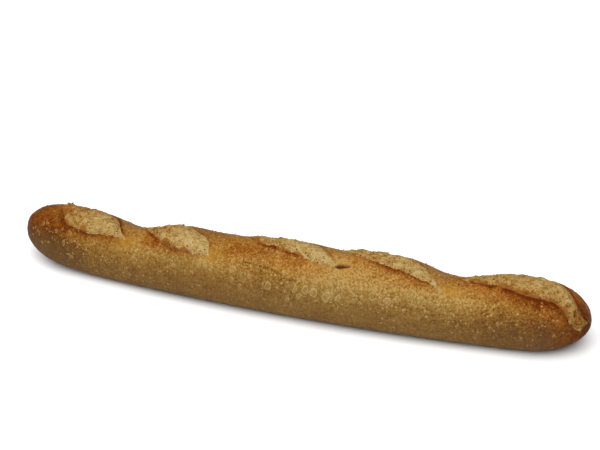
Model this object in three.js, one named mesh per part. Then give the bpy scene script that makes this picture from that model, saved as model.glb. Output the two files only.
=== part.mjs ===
// A sourdough baguette: one loaf whose crust is opened along the top by five slanting scores.
//
// Millimetres. +X runs along the loaf, -Y is its front and +Z is up. The origin is on the table,
// under the middle of the loaf's box.
import * as THREE from 'three';
import { ConvexHull } from 'three/addons/math/ConvexHull.js';
import { mergeVertices } from 'three/addons/utils/BufferGeometryUtils.js';

const { clamp, degToRad, smoothstep } = THREE.MathUtils;

// Driving dimensions
const LENGTH = 520;
const WIDTH = 70;
const HEIGHT = 56.5;

// Crust and crumb as seen
const CRUST_COLOUR = 0xb07a3a;
const CRUST_ROUGHNESS = 0.75;

// Plan and side view. Places along the loaf are shares of the half length, -1 at the left end.
const HALF = LENGTH / 2;
const FULLEST = 0.2;
const TAPER_LEFT = 0.2;
const TAPER_RIGHT = 0.13;
const BOW = 0.023 * LENGTH;
const CAP_LEFT = 0.71 * WIDTH;
const CAP_RIGHT = 0.75 * WIDTH;
const CAP_POWER = 2.35;
const RISE_LEFT = 0.15 * WIDTH;
const RISE_RIGHT = 0.05 * WIDTH;
const RISE_RUN = 0.35 * HALF;

// Cross-section: a round crown over a squarer belly, pressed flat underneath
const BELLY_HEIGHT = 0.36;
const BELLY_POWER = 2 / 2.5;
const PRESSED = 0.05;

// The unrolled crust: run is the length along the loaf's shoulder and girth the length around
// it, from the crown toward the front.
const GIRTH_RADIUS = 0.47 * WIDTH;
const RUN_STATIONS = 2000;

// Dips between the scores, just behind the crown: place, depth and reach
const DIP_ANGLE = degToRad(-28);
const DIP_ARC = degToRad(42);
const DIPS = [
  { place: -0.55, depth: 0.135 * WIDTH, reach: 0.095 * HALF },
  { place: -0.22, depth: 0.035 * WIDTH, reach: 0.14 * HALF },
  { place: 0.18, depth: 0.022 * WIDTH, reach: 0.06 * HALF },
  { place: 0.572, depth: 0.15 * WIDTH, reach: 0.1 * HALF },
];

// Scores: each opens between a front and a back edge that meet at its two tips. A point is a
// place along the loaf and an angle in degrees, from the crown toward the front.
const SCORES = [
  {
    front: [[-0.89, -48], [-0.862, -12], [-0.828, 20], [-0.79, 35], [-0.68, 38.5], [-0.565, 35]],
    back: [[-0.89, -48], [-0.72, -44], [-0.64, -17], [-0.607, 13], [-0.565, 35]],
  },
  {
    front: [[-0.58, -50], [-0.548, -12], [-0.508, 11], [-0.435, 31], [-0.35, 43], [-0.25, 38]],
    back: [[-0.58, -50], [-0.4, -42], [-0.34, -10], [-0.283, 6], [-0.25, 38]],
  },
  {
    front: [[-0.18, -50], [-0.14, -12], [-0.085, 5], [0.023, 16], [0.12, 28], [0.187, 23]],
    back: [[-0.18, -50], [0.03, -42], [0.105, -15], [0.15, 6], [0.187, 23]],
  },
  {
    front: [[0.17, -50], [0.21, -8], [0.29, 8], [0.373, 18], [0.47, 28.5], [0.532, 38]],
    back: [[0.17, -50], [0.37, -42], [0.445, -12], [0.49, 13], [0.532, 38]],
  },
  {
    front: [
      [0.52, -50], [0.545, -8], [0.6, 8], [0.69, 19], [0.8, 30], [0.875, 34], [0.908, 49],
      [0.93, 64], [0.966, 78],
    ],
    back: [
      [0.52, -50], [0.84, -44], [0.915, -12], [0.94, 15], [0.97, 37], [0.986, 54], [0.966, 78],
    ],
  },
];
const SCORE_REACH = 0.65 * WIDTH;

// The front edge lifts into a thin ear that leans back over the opening; the back edge hardly
// lifts. Starts, growths and ends are shares of an edge's length.
const EAR = 0.042 * WIDTH;
const EAR_RUN = 0.1 * WIDTH;
const EAR_START = 0.18;
const EAR_GROWTH = 0.3;
const EAR_END = 0.14;
const LEAN = 0.025 * WIDTH;
const LEAN_RUN = 0.05 * WIDTH;
const LIP = 0.01 * WIDTH;
const LIP_RUN = 0.07 * WIDTH;
const LIP_GROWTH = 0.2;
const LIP_END = 0.15;

// The torn crumb sinks under the edges and swells between them.
const EAR_GROOVE = 0.035 * WIDTH;
const EAR_GROOVE_RUN = 0.055 * WIDTH;
const LIP_GROOVE = 0.018 * WIDTH;
const LIP_GROOVE_RUN = 0.05 * WIDTH;
const SWELL = 0.02 * WIDTH;
const SWELL_RUN = 0.12 * WIDTH;

// Unevenness: depth and wavelength. The crust's grows from nothing on the belly, at the angle
// with this cosine, to its full depth at the sides.
const RAGGED = { depth: 0.7, wave: 13, phase: 1, fade: 0.1 };
const CRUMB = { depth: 0.7, wave: 15, phase: 3 };
const CRUST = { depth: 0.45, wave: 48, phase: 2 };
const CRUST_START = -0.6;

// A stretch mark along the front and a short tear at the third score's tip: a ditch between
// two points, each a place and an angle
const DITCHES = [
  { from: [-0.17, 44], to: [0.03, 52], depth: 0.014 * WIDTH, reach: 0.05 * WIDTH },
  { from: [0.182, 23], to: [0.222, 20], depth: 0.035 * WIDTH, reach: 0.032 * WIDTH },
];

// Facets: points stand close together in and around the openings and far apart elsewhere, and
// further apart along the run than around the girth. The crust and the crumb each have their
// own row of points along an edge.
const EDGE_SPACING = 2.4;
const EDGE_GAP = 0.3;
const FINE_SPACING = 3.1;
const COARSE_SPACING = 6.6;
const RUN_STRETCH = 1.35;
const FINE_ZONE = 9;
const STAGGER = 0.25;
const CLEAR_OF_EDGE = 2.2;
const CLEAR_OF_TIP = 1.2;
const POLE_GAP = 3;
const POLE_FADE = 10;
const NORMAL_STEP = 0.3;
const SAME_POINT = 1e-3;
const SIDE_FACE = 1e-5;

// Share of the full section at a place along the loaf, before its ends close
function bodyShare(x) {
  const offset = x - FULLEST * HALF;
  if (offset < 0) {
    return 1 - TAPER_LEFT * (offset / (HALF * (1 + FULLEST))) ** 2;
  }
  return 1 - TAPER_RIGHT * (offset / (HALF * (1 - FULLEST))) ** 2;
}

// Share of the body's section left by one rounded end
function capShare(distance, length) {
  const depth = clamp(1 - distance / length, 0, 1);
  return Math.sqrt(Math.max(0, 1 - depth ** CAP_POWER));
}

function endShare(x) {
  return capShare(x + HALF, CAP_LEFT) * capShare(HALF - x, CAP_RIGHT);
}

// How far an end stands off the table
function endRise(x) {
  const left = clamp(1 - (x + HALF) / RISE_RUN, 0, 1);
  const right = clamp(1 - (HALF - x) / RISE_RUN, 0, 1);
  return RISE_LEFT * left ** 2 + RISE_RIGHT * right ** 2;
}

// A point of the loaf before it is scored, not yet flattened on the table
function loafPoint(x, angle) {
  const body = bodyShare(x);
  const end = endShare(x);
  const height = HEIGHT * body;
  const halfWidth = (WIDTH / 2) * body * end;
  const bellyZ = BELLY_HEIGHT * height + endRise(x);
  const middleY = -BOW * (0.5 - (x / HALF) ** 2);
  const across = Math.sin(angle);
  const upward = Math.cos(angle);
  if (upward >= 0) {
    const crown = (1 - BELLY_HEIGHT) * height * end;
    return new THREE.Vector3(x, middleY - halfWidth * across, bellyZ + crown * upward);
  }
  const belly = (BELLY_HEIGHT + PRESSED) * height * end;
  return new THREE.Vector3(
    x,
    middleY - halfWidth * Math.sign(across) * Math.abs(across) ** BELLY_POWER,
    bellyZ - belly * Math.abs(upward) ** BELLY_POWER,
  );
}

// Places and their runs, measured over the shoulder from the loaf's middle
function unrollShoulder() {
  const stations = [];
  let run = 0;
  let last = null;
  for (let i = 0; i <= RUN_STATIONS; i++) {
    const x = -HALF * Math.cos((Math.PI * i) / RUN_STATIONS);
    const radius = (WIDTH / 2) * bodyShare(x) * endShare(x);
    if (last) {
      run += Math.hypot(x - last.x, radius - last.radius);
    }
    last = { x, radius, run };
    stations.push(last);
  }
  stations.forEach((station) => {
    station.run -= run / 2;
  });
  return stations;
}

const SHOULDER = unrollShoulder();
const HALF_RUN = SHOULDER[RUN_STATIONS].run;

// Reads one value of the shoulder at another: run at x, or x at run
function readShoulder(value, from, to) {
  let low = 0;
  let high = RUN_STATIONS;
  while (high - low > 1) {
    const middle = Math.floor((low + high) / 2);
    if (SHOULDER[middle][from] <= value) {
      low = middle;
    } else {
      high = middle;
    }
  }
  const a = SHOULDER[low];
  const b = SHOULDER[high];
  const share = clamp((value - a[from]) / (b[from] - a[from]), 0, 1);
  return a[to] + share * (b[to] - a[to]);
}

function pointAt(run, girth) {
  return loafPoint(readShoulder(run, 'run', 'x'), girth / GIRTH_RADIUS);
}

// A place and an angle in degrees as a point of the unrolled crust
function unrolled([place, degrees]) {
  const run = readShoulder(place * HALF, 'x', 'run');
  return new THREE.Vector2(run, degToRad(degrees) * GIRTH_RADIUS);
}

// Smooth unevenness between -1 and 1, made of three crossing waves
function ripple(run, girth, { wave, phase }) {
  const turn = (2 * Math.PI) / wave;
  return (
    Math.sin(turn * (run + 0.43 * girth) + phase)
    + Math.sin(turn * (0.91 * girth - 0.62 * run) + 2.1 * phase)
    + Math.sin(turn * (0.27 * run - 1.17 * girth) + 3.7 * phase)
  ) / 3;
}

// An edge of a score, from its back tip to its front tip: evenly spaced points of a smooth line,
// worn ragged between the tips, each with the line's direction there
function edgeLine(places) {
  const curve = new THREE.SplineCurve(places.map(unrolled));
  const count = Math.round(curve.getLength() / EDGE_SPACING);
  const line = curve.getSpacedPoints(count).map((point, i) => {
    const depth = RAGGED.depth * between(i / count, 0, RAGGED.fade, RAGGED.fade);
    const shift = depth * ripple(point.x, point.y, RAGGED);
    return new THREE.Vector2(point.x + shift, point.y - shift);
  });
  return line.map((point, i) => {
    const next = line[Math.min(i + 1, count)];
    const last = line[Math.max(i - 1, 0)];
    return { point, along: i / count, direction: next.clone().sub(last).normalize() };
  });
}

// Nearest point of an edge: its distance, its share of the edge and the edge's direction there
function nearestOn(edge, run, girth) {
  const best = { distance: Infinity };
  for (let i = 0; i < edge.length - 1; i++) {
    const a = edge[i];
    const b = edge[i + 1];
    const alongRun = b.point.x - a.point.x;
    const alongGirth = b.point.y - a.point.y;
    const product = (run - a.point.x) * alongRun + (girth - a.point.y) * alongGirth;
    const share = clamp(product / (alongRun ** 2 + alongGirth ** 2), 0, 1);
    const nearRun = a.point.x + share * alongRun;
    const nearGirth = a.point.y + share * alongGirth;
    const distance = Math.hypot(run - nearRun, girth - nearGirth);
    if (distance < best.distance) {
      best.distance = distance;
      best.along = a.along + share * (b.along - a.along);
      best.direction = a.direction.clone().lerp(b.direction, share);
    }
  }
  return best;
}

// Whether a point of the unrolled crust is in the opening between two edges
function isOpen({ outline }, run, girth) {
  let open = false;
  outline.forEach((a, i) => {
    const b = outline[(i + 1) % outline.length];
    if (a.y > girth !== b.y > girth && run < ((b.x - a.x) * (girth - a.y)) / (b.y - a.y) + a.x) {
      open = !open;
    }
  });
  return open;
}

// Growth of a lifted edge away from its two tips
function between(along, start, growth, end) {
  return smoothstep(along, start, start + growth) * smoothstep(1 - along, 0, end);
}

const OPENINGS = SCORES.map((score) => {
  const front = edgeLine(score.front);
  const back = edgeLine(score.back);
  const outline = [...front, ...back.slice(1, -1).reverse()].map(({ point }) => point);
  const runs = outline.map((point) => point.x);
  const start = Math.min(...runs) - SCORE_REACH;
  const end = Math.max(...runs) + SCORE_REACH;
  return { front, back, outline, start, end };
});

function openingsNear(run) {
  return OPENINGS.filter(({ start, end }) => run > start && run < end);
}

// How far one score lifts the crust round its opening, and how far its ear leans over it
function crustRelief({ front, back }, run, girth) {
  const near = nearestOn(front, run, girth);
  const far = nearestOn(back, run, girth);
  const ear = between(near.along, EAR_START, EAR_GROWTH, EAR_END);
  const lip = between(far.along, 0, LIP_GROWTH, LIP_END);
  const lean = LEAN * ear * Math.exp(-near.distance / LEAN_RUN);
  return {
    outward: Math.max(
      EAR * ear * Math.exp(-near.distance / EAR_RUN),
      LIP * lip * Math.exp(-far.distance / LIP_RUN),
    ),
    run: lean * near.direction.y,
    girth: -lean * near.direction.x,
  };
}

// How far the crumb of one score sinks under its edges and swells between them
function crumbRelief({ front, back }, run, girth) {
  const near = nearestOn(front, run, girth);
  const far = nearestOn(back, run, girth);
  const ear = between(near.along, EAR_START, EAR_GROWTH, EAR_END);
  const lip = between(far.along, 0, LIP_GROWTH, LIP_END);
  const middle = smoothstep(Math.min(near.distance, far.distance), 0, SWELL_RUN);
  return (SWELL + CRUMB.depth * ripple(run, girth, CRUMB)) * middle
    - EAR_GROOVE * ear * Math.exp(-near.distance / EAR_GROOVE_RUN)
    - LIP_GROOVE * lip * Math.exp(-far.distance / LIP_GROOVE_RUN);
}

// Depth of a ditch at a point of the unrolled crust
function ditchDepth({ from, to, depth, reach }, run, girth) {
  const a = unrolled(from);
  const b = unrolled(to);
  const direction = b.clone().sub(a);
  const ends = [{ point: a, along: 0, direction }, { point: b, along: 1, direction }];
  return depth * Math.exp(-((nearestOn(ends, run, girth).distance / reach) ** 2));
}

// The whole relief at a point of the unrolled crust
function relief({ run, girth, opening }) {
  const angle = girth / GIRTH_RADIUS;
  const x = readShoulder(run, 'run', 'x');
  const upper = smoothstep(Math.cos(angle), CRUST_START, 0);
  const sum = { outward: CRUST.depth * upper * ripple(run, girth, CRUST), run: 0, girth: 0 };
  DIPS.forEach(({ place, depth, reach }) => {
    const along = Math.exp(-(((x - place * HALF) / reach) ** 2));
    const around = Math.exp(-(((angle - DIP_ANGLE) / DIP_ARC) ** 2));
    sum.outward -= depth * along * around;
  });
  DITCHES.forEach((ditch) => {
    sum.outward -= ditchDepth(ditch, run, girth);
  });
  if (opening) {
    sum.outward += crumbRelief(opening, run, girth);
    return sum;
  }
  openingsNear(run).forEach((near) => {
    const lift = crustRelief(near, run, girth);
    sum.outward += lift.outward;
    sum.run += lift.run;
    sum.girth += lift.girth;
  });
  return sum;
}

// A point of the scored loaf, flattened where it meets the table
function scoredPoint(place) {
  const shift = relief(place);
  const run = clamp(place.run + shift.run, -HALF_RUN + NORMAL_STEP, HALF_RUN - NORMAL_STEP);
  const girth = place.girth + shift.girth;
  const alongRun = pointAt(run + NORMAL_STEP, girth).sub(pointAt(run - NORMAL_STEP, girth));
  const alongGirth = pointAt(run, girth + NORMAL_STEP).sub(pointAt(run, girth - NORMAL_STEP));
  const normal = alongGirth.cross(alongRun).normalize();
  const fade = smoothstep(HALF_RUN - Math.abs(run), 0, POLE_FADE);
  const point = pointAt(run, girth).addScaledVector(normal, shift.outward * fade);
  point.z = Math.max(point.z, 0);
  return point;
}

// The rows of points on the crust and on the crumb along both edges of one score
function edgeRows(opening) {
  const rows = [];
  const sides = [[opening.front, opening.back, 1], [opening.back, opening.front, -1]];
  sides.forEach(([edge, other, turn]) => {
    edge.forEach(({ point, direction }) => {
      if (nearestOn(other, point.x, point.y).distance < CLEAR_OF_TIP) {
        return;
      }
      const run = turn * EDGE_GAP * direction.y;
      const girth = -turn * EDGE_GAP * direction.x;
      rows.push({ run: point.x - run, girth: point.y - girth });
      rows.push({ run: point.x + run, girth: point.y + girth, opening });
    });
  });
  [opening.front[0], opening.front.at(-1)].forEach(({ point }) => {
    rows.push({ run: point.x, girth: point.y });
  });
  return rows;
}

// Staggered rows of points over the unrolled crust, between its seam and its two ends
function staggered(spacing, keep) {
  const points = [];
  const halfGirth = Math.PI * GIRTH_RADIUS;
  const endRun = HALF_RUN - POLE_GAP;
  const columns = Math.round((2 * endRun) / (spacing * RUN_STRETCH * Math.sin(Math.PI / 3)));
  const rows = Math.round((2 * halfGirth) / spacing);
  for (let column = 1; column < columns; column++) {
    const run = -endRun + (2 * endRun * column) / columns;
    const stagger = column % 2 ? STAGGER : -STAGGER;
    for (let row = 1; row < rows; row++) {
      const girth = -halfGirth + (2 * halfGirth * (row + stagger)) / rows;
      const near = openingsNear(run);
      const opening = near.find((candidate) => isOpen(candidate, run, girth));
      const distances = near.flatMap(({ front, back }) => [
        nearestOn(front, run, girth).distance,
        nearestOn(back, run, girth).distance,
      ]);
      if (keep(Math.min(...distances, Infinity), Boolean(opening))) {
        points.push({ run, girth, opening });
      }
    }
  }
  return points;
}

// Points along the seam under the loaf and round its two ends
function borderPoints() {
  const points = [];
  const halfGirth = Math.PI * GIRTH_RADIUS;
  const endRun = HALF_RUN - POLE_GAP;
  const columns = Math.round((2 * endRun) / (COARSE_SPACING * RUN_STRETCH));
  const rows = Math.round((2 * halfGirth) / COARSE_SPACING);
  for (let column = 0; column <= columns; column++) {
    const run = -endRun + (2 * endRun * column) / columns;
    points.push({ run, girth: -halfGirth }, { run, girth: halfGirth });
  }
  for (let row = 1; row < rows; row++) {
    const girth = -halfGirth + (2 * halfGirth * row) / rows;
    points.push({ run: -endRun, girth }, { run: endRun, girth });
  }
  return points;
}

// Delaunay triangles of flat points: the underside of the hull of the points lifted to a bowl
function delaunay(places) {
  const lifted = places.map(({ run, girth }, index) => {
    const along = run / RUN_STRETCH;
    const point = new THREE.Vector3(along, girth, along ** 2 + girth ** 2);
    point.index = index;
    return point;
  });
  const hull = new ConvexHull().setFromPoints(lifted);
  return hull.faces
    .filter((face) => face.normal.z < -SIDE_FACE)
    .map((face) => {
      const { edge } = face;
      return [edge, edge.next, edge.next.next].map((side) => side.head().point.index);
    });
}

function loafGeometry() {
  const fine = (distance, open) => distance > CLEAR_OF_EDGE && (open || distance < FINE_ZONE);
  const coarse = (distance, open) => distance > FINE_ZONE + FINE_SPACING / 2 && !open;
  const places = [
    ...borderPoints(),
    ...OPENINGS.flatMap(edgeRows),
    ...staggered(FINE_SPACING, fine),
    ...staggered(COARSE_SPACING, coarse),
  ];
  const faces = delaunay(places);

  // Fans close the two ends
  [-1, 1].forEach((end) => {
    const pole = places.push({ run: end * HALF_RUN, pole: end }) - 1;
    const lastRun = end * (HALF_RUN - POLE_GAP);
    const ring = places
      .map(({ run, girth }, index) => ({ run, girth, index }))
      .filter(({ run }) => Math.abs(run - lastRun) < SAME_POINT)
      .sort((a, b) => end * (a.girth - b.girth));
    ring.slice(1).forEach(({ index }, i) => faces.push([pole, ring[i].index, index]));
  });

  const points = places.map((place) => {
    return place.pole ? loafPoint(place.pole * HALF, 0) : scoredPoint(place);
  });
  const open = new THREE.BufferGeometry().setFromPoints(points);
  open.setIndex(faces.flat());
  const geometry = mergeVertices(open, SAME_POINT);
  geometry.computeBoundingBox();
  const middle = geometry.boundingBox.getCenter(new THREE.Vector3());
  geometry.translate(-middle.x, -middle.y, -geometry.boundingBox.min.z);
  geometry.computeVertexNormals();
  return geometry;
}

function baguetteMesh() {
  const material = new THREE.MeshStandardMaterial({
    color: CRUST_COLOUR,
    roughness: CRUST_ROUGHNESS,
    metalness: 0,
  });
  const mesh = new THREE.Mesh(loafGeometry(), material);
  mesh.name = 'baguette';
  return mesh;
}

const loaf = new THREE.Group();
loaf.add(baguetteMesh());

export default loaf;
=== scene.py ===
"""Looks of a sourdough baguette: the browned crust, its five torn scores and loose bran flakes.

Metres, in the same frame as the solid: +X along the loaf, -Y its front, +Z up. The loaf here is
the solid's own shape on a much finer mesh, with the blisters, pores and crumbs added.
"""
import itertools
import math

import bpy
import numpy as np
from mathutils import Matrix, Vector


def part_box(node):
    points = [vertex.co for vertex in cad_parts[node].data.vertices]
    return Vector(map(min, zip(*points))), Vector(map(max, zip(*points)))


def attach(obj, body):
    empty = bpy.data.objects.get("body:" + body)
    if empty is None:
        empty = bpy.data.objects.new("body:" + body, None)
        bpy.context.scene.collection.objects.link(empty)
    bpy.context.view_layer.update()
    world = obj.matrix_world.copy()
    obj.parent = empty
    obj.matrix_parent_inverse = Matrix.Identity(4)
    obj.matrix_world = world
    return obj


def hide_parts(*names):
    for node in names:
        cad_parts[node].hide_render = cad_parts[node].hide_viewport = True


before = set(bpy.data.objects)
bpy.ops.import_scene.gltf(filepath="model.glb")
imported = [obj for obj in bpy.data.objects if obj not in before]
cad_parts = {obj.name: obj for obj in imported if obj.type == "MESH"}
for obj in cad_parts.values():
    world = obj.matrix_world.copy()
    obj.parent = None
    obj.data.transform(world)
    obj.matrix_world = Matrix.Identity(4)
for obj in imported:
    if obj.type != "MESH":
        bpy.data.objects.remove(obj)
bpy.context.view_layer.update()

LOW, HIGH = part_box("baguette")

# ---- The loaf's shape, as in the solid ----
# Places along it are shares of its half length, and angles run from the crown toward the front.
MM = 0.001
LENGTH = HIGH.x - LOW.x
# A loaf of 520 mm is 70 mm wide without its bow, and 56.5 mm high without its ears
WIDTH = LENGTH * 70 / 520
HEIGHT = LENGTH * 56.5 / 520
HALF = LENGTH / 2

# Where it is fullest, how much it thins toward its ends, its bow, and its rounded ends
FULLEST = 0.2
TAPER_LEFT = 0.2
TAPER_RIGHT = 0.13
BOW = 0.023 * LENGTH
CAP_LEFT = 0.71 * WIDTH
CAP_RIGHT = 0.75 * WIDTH
CAP_POWER = 2.35
# How far the ends stand off the table
RISE_LEFT = 0.15 * WIDTH
RISE_RIGHT = 0.05 * WIDTH
RISE_RUN = 0.35 * HALF
# The section: where the round crown meets the squarer belly, which is pressed flat
BELLY_HEIGHT = 0.36
BELLY_POWER = 2 / 2.5
PRESSED = 0.05
GIRTH_RADIUS = 0.47 * WIDTH
RUN_STATIONS = 2000

# Dips between the scores: place, depth, reach
DIP_ANGLE = math.radians(-28)
DIP_ARC = math.radians(42)
DIPS = [
    (-0.55, 0.135 * WIDTH, 0.095 * HALF),
    (-0.22, 0.035 * WIDTH, 0.14 * HALF),
    (0.18, 0.022 * WIDTH, 0.06 * HALF),
    (0.572, 0.15 * WIDTH, 0.1 * HALF),
]

# Scores: front and back edge, each point a place and an angle in degrees
SCORES = [
    (
        [(-0.89, -48), (-0.862, -12), (-0.828, 20), (-0.79, 35), (-0.68, 38.5), (-0.565, 35)],
        [(-0.89, -48), (-0.72, -44), (-0.64, -17), (-0.607, 13), (-0.565, 35)],
    ),
    (
        [(-0.58, -50), (-0.548, -12), (-0.508, 11), (-0.435, 31), (-0.35, 43), (-0.25, 38)],
        [(-0.58, -50), (-0.4, -42), (-0.34, -10), (-0.283, 6), (-0.25, 38)],
    ),
    (
        [(-0.18, -50), (-0.14, -12), (-0.085, 5), (0.023, 16), (0.12, 28), (0.187, 23)],
        [(-0.18, -50), (0.03, -42), (0.105, -15), (0.15, 6), (0.187, 23)],
    ),
    (
        [(0.17, -50), (0.21, -8), (0.29, 8), (0.373, 18), (0.47, 28.5), (0.532, 38)],
        [(0.17, -50), (0.37, -42), (0.445, -12), (0.49, 13), (0.532, 38)],
    ),
    (
        [(0.52, -50), (0.545, -8), (0.6, 8), (0.69, 19), (0.8, 30), (0.875, 34), (0.908, 49),
         (0.93, 64), (0.966, 78)],
        [(0.52, -50), (0.84, -44), (0.915, -12), (0.94, 15), (0.97, 37), (0.986, 54),
         (0.966, 78)],
    ),
]
SCORE_REACH = 0.65 * WIDTH
EDGE_SPACING = 1.2 * MM
EDGE_STEPS = 24

# The front edge lifts as an ear that leans over the opening, and the back edge as a low lip
EAR = 0.042 * WIDTH
EAR_RUN = 0.1 * WIDTH
EAR_START = 0.18
EAR_GROWTH = 0.3
EAR_END = 0.14
LEAN = 0.025 * WIDTH
LEAN_RUN = 0.05 * WIDTH
LIP = 0.01 * WIDTH
LIP_RUN = 0.07 * WIDTH
LIP_GROWTH = 0.2
LIP_END = 0.15
# The crumb sinks under both edges and swells between them
EAR_GROOVE = 0.035 * WIDTH
EAR_GROOVE_RUN = 0.055 * WIDTH
LIP_GROOVE = 0.018 * WIDTH
LIP_GROOVE_RUN = 0.05 * WIDTH
SWELL = 0.02 * WIDTH
SWELL_RUN = 0.12 * WIDTH
EDGE_THICKNESS = 0.5 * MM

# Unevenness: depth, wavelength, phase
RAGGED = (0.7 * MM, 13 * MM, 1)
RAGGED_FADE = 0.1
CRUMB = (0.7 * MM, 15 * MM, 3)
CRUST = (0.45 * MM, 48 * MM, 2)
# Its three crossing waves: shares of the run, of the girth and of the phase
WAVES = [(1, 0.43, 1), (-0.62, 0.91, 2.1), (0.27, -1.17, 3.7)]

# A short tear at a score's tip: from, to, depth, reach, how dark the shade painted inside it is
DITCHES = [
    ((0.18, 23.5), (0.224, 20), 0.035 * WIDTH, 0.038 * WIDTH, 1.0),
]
# A tear's reach at its tips, over which shares of it that widens and narrows, and the share of its
# reach that gets painted shade inside
DITCH_TIPS = 0.35
DITCH_WIDENS = 0.25
DITCH_NARROWS = 0.8
DITCH_DARK = 0.8
# Stretch marks, where the crust above stands over the crust below
LEDGES = [
    [(-0.17, 40), (-0.11, 39), (-0.06, 42), (-0.01, 46), (0.03, 52), (0.1, 55)],
]
LEDGE_HEIGHT = 1.1 * MM
LEDGE_RUN = 7 * MM
LEDGE_EDGE = 0.9 * MM
LEDGE_FADE = 0.25
# The crease and a band of crust below it get a painted shadow: how dark the band is, and how far it
# runs
LEDGE_SHADE = 0.6
LEDGE_SHADE_RUN = 3 * LEDGE_EDGE

POLE_FADE = 10 * MM
NORMAL_STEP = 0.3 * MM

# ---- The fine surface that the solid leaves out ----
# Reaches along an edge are shares of its length, and pairs are the ends of a smooth step.
# Noises: size of the lumps, octaves, seed
GRAIN_NOISE = (6 * MM, 3, 30)
WEAR_NOISE = (4 * MM, 2, 40)
CRUMB_NOISE = (6 * MM, 3, 50)
SKIN_NOISE = (6 * MM, 3, 60)
PALE_NOISE = (12 * MM, 2, 80)
LEDGE_NOISE = (5 * MM, 3, 90)
BURNT_NOISE = (7 * MM, 2, 100)
# Holes in the crumb: size, seed
PIT_NOISE = (3.4 * MM, 55)
NOISE_CELLS = 32

# Depths of the noises
CRUST_GRAIN = 0.45 * MM
EDGE_WEAR = 0.6 * MM
CRUMB_ROUGHNESS = 1.5 * MM
PIT_DEPTH = 1.4 * MM
# The crust is smooth below the first of these cosines of the angle, and uneven above the second
UNEVEN = (-0.6, 0)
# How far inside an edge the crumb gets rough
ROUGH_FROM_EDGE = (0, 2 * MM)

# How many holes show in each score's crumb, and how many more toward its right tip
PITS = [0.3, 0.3, 0.3, 0.2, 0.3]
TIP_PITS = [0, 0, 0, 0, 0.9]
TIP_ALONG = (0.78, 0.86)
PIT_LEVELS = (0.66, 0.82)
# How dark the shade painted into the holes of the crumb is
PIT_DARKNESS = 0.7
# The pale rim left along the front edge where the right tip is full of holes
TIP_RIM = (1 * MM, 4 * MM)
# How pale each score's crumb is at its left and at its right tip
PALENESS = [(0.1, 0.7), (0.25, 0.9), (0.35, 1.0), (0.35, 0.85), (0.5, 0.6)]
PALE_ALONG = (0.3, 0.8)
PALE_WANDER = 0.15
# How much darker each score's crumb is near its front edge, except toward the right tip: partly
# browner crumb, partly painted shade under the ear
EDGE_STAINS_AND_SHADE = [0.0, 0.15, 0.0, 0.0, 0.5]
STAIN_SHADE_RUN = 6 * MM
STAIN_SHADE_END = (0.66, 0.76)

# Orange skin torn along the front edge of each score: from and to along the edge, and how wide
SKINS = [
    (0.2, 0.6, 8 * MM),
    (0.44, 0.82, 8.5 * MM),
    (0.25, 0.8, 8 * MM),
    (0.3, 0.7, 4 * MM),
    (0.2, 0.8, 11 * MM),
]
SKIN_FADE = 0.12
SKIN_EDGE = (-0.8 * MM, 0.4 * MM)
# Mean width of the skin and how ragged it is, as shares of its full width
SKIN_MEAN = 0.55
SKIN_RAGGED = 0.9

# How burnt the front and the back edge of each score are, and from and to along the front edge
BURNT = [
    (0.3, 1.0, 0.5, 0.85),
    (0.85, 0.25, 0.4, 0.72),
    (0.85, 0.3, 0.3, 0.68),
    (0.6, 0.25, 0.4, 0.9),
    (1.0, 0.8, 0.2, 0.9),
]
BURNT_FADE = 0.1
BURNT_RUN = 1.3 * MM
BURNT_LEVELS = (-0.7, 0.1)
BACK_BURNT_ALONG = (0.35, 0.65)
# Fainter scorching of the crust beside a burnt edge
SCORCH = 0.3
SCORCH_RUN = 2 * BURNT_RUN

# How much browner each front edge is, and how brown a back edge is against it
EARS_TOAST = [0.4, 0.24, 0.2, 0.26, 0.18]
LIP_BROWNING = 0.25
EAR_BROWN_RUN = 5 * MM

# The mesh, finer toward the crown and pulled to the edges of the scores
RINGS = 520
AROUND = 186
CROWN_PULL = 0.45
EDGE_PULL = 0.65
EDGE_PULL_REACH = 2 * MM
EDGE_PULL_LIMIT = 3 * EDGE_PULL_REACH


def smoothstep(value, start, end):
    share = np.clip((value - start) / (end - start), 0, 1)
    return share * share * (3 - 2 * share)


def body_share(x):
    """Share of the full section at a place along the loaf, before its ends close."""
    offset = x - FULLEST * HALF
    left = TAPER_LEFT * (offset / (HALF * (1 + FULLEST))) ** 2
    right = TAPER_RIGHT * (offset / (HALF * (1 - FULLEST))) ** 2
    return 1 - np.where(offset < 0, left, right)


def cap_share(distance, length):
    depth = np.clip(1 - distance / length, 0, 1)
    return np.sqrt(np.clip(1 - depth ** CAP_POWER, 0, 1))


def end_share(x):
    return cap_share(x + HALF, CAP_LEFT) * cap_share(HALF - x, CAP_RIGHT)


def end_rise(x):
    """How far an end stands off the table."""
    left = np.clip(1 - (x + HALF) / RISE_RUN, 0, 1)
    right = np.clip(1 - (HALF - x) / RISE_RUN, 0, 1)
    return RISE_LEFT * left ** 2 + RISE_RIGHT * right ** 2


def loaf_point(x, angle):
    """Points of the loaf before it is scored, not yet flattened on the table."""
    body = body_share(x)
    end = end_share(x)
    height = HEIGHT * body
    half_width = WIDTH / 2 * body * end
    across = np.sin(angle)
    upward = np.cos(angle)
    crown = (1 - BELLY_HEIGHT) * height * end * upward
    belly = (BELLY_HEIGHT + PRESSED) * height * end * np.abs(upward) ** BELLY_POWER
    below = np.sign(across) * np.abs(across) ** BELLY_POWER
    y = -BOW * (0.5 - (x / HALF) ** 2) - half_width * np.where(upward >= 0, across, below)
    z = BELLY_HEIGHT * height + end_rise(x) + np.where(upward >= 0, crown, -belly)
    return np.stack([x + 0 * angle, y, z], -1)


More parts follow.
